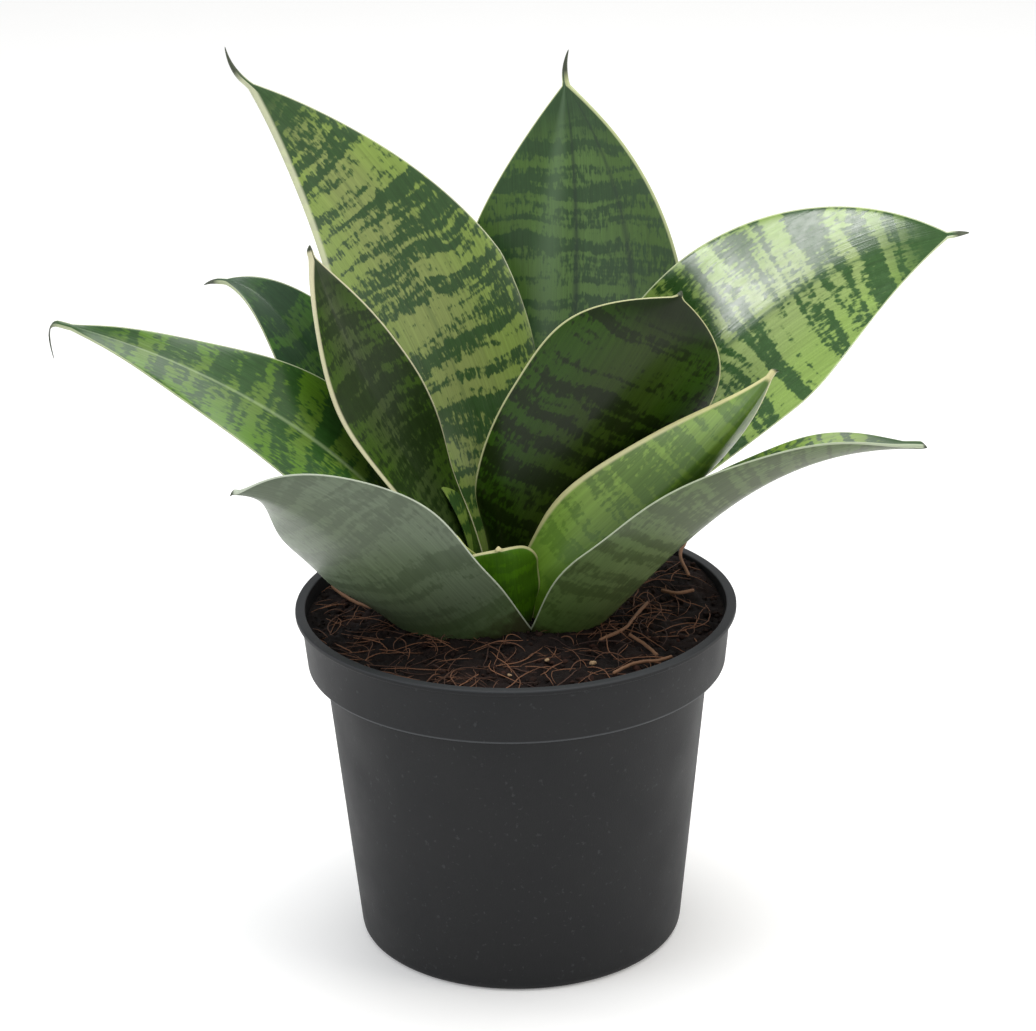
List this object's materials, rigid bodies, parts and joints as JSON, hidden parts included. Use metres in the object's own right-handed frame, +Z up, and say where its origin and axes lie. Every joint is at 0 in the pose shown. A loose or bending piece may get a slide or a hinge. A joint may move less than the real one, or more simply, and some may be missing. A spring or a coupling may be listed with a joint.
{
  "type": "potted snake plant",
  "caption": "Low rosette of broad banded snake plant leaves growing from soil in a round tapered nursery pot with a deep rim band.",
  "frame": {"origin": "middle of the pot's flat underside, on the pot's axis", "axes": "+Z up along the pot's axis; -Y towards the side where the leaf faces and the low front leaf show; +X to the right seen from there"},
  "size_m": [0.2446, 0.12, 0.2423],
  "materials": {
    "pot": "matte",
    "leaf_front_left": "satin",
    "leaf_low_right": "satin",
    "leaf_left": "satin",
    "leaf_right": "satin",
    "leaf_far_left": "satin",
    "leaf_small_front": "satin",
    "leaf_newest": "satin",
    "leaf_folded_right": "satin",
    "leaf_tall_left": "satin",
    "leaf_tall_back": "satin",
    "leaf_inner_left": "satin",
    "leaf_inner_right": "satin",
    "rhizome": "matte",
    "potting_soil": "matte",
    "root_strand": "matte",
    "bark_chip": "matte"
  },
  "bodies": {
    "root": {"pot": "pot", "leaf_front_left": "leaf_front_left", "leaf_low_right": "leaf_low_right", "leaf_left": "leaf_left", "leaf_right": "leaf_right", "leaf_far_left": "leaf_far_left", "leaf_small_front": "leaf_small_front", "leaf_newest": "leaf_newest", "leaf_folded_right": "leaf_folded_right", "leaf_tall_left": "leaf_tall_left", "leaf_tall_back": "leaf_tall_back", "leaf_inner_left": "leaf_inner_left", "leaf_inner_right": "leaf_inner_right", "rhizome": "rhizome", "potting_soil": "potting_soil", "root_strand_1": "root_strand", "root_strand_2": "root_strand", "root_strand_3": "root_strand", "root_strand_4": "root_strand", "root_strand_5": "root_strand", "root_strand_6": "root_strand", "bark_chip_1": "bark_chip", "bark_chip_2": "bark_chip", "bark_chip_3": "bark_chip"}
  },
  "joints": []
}
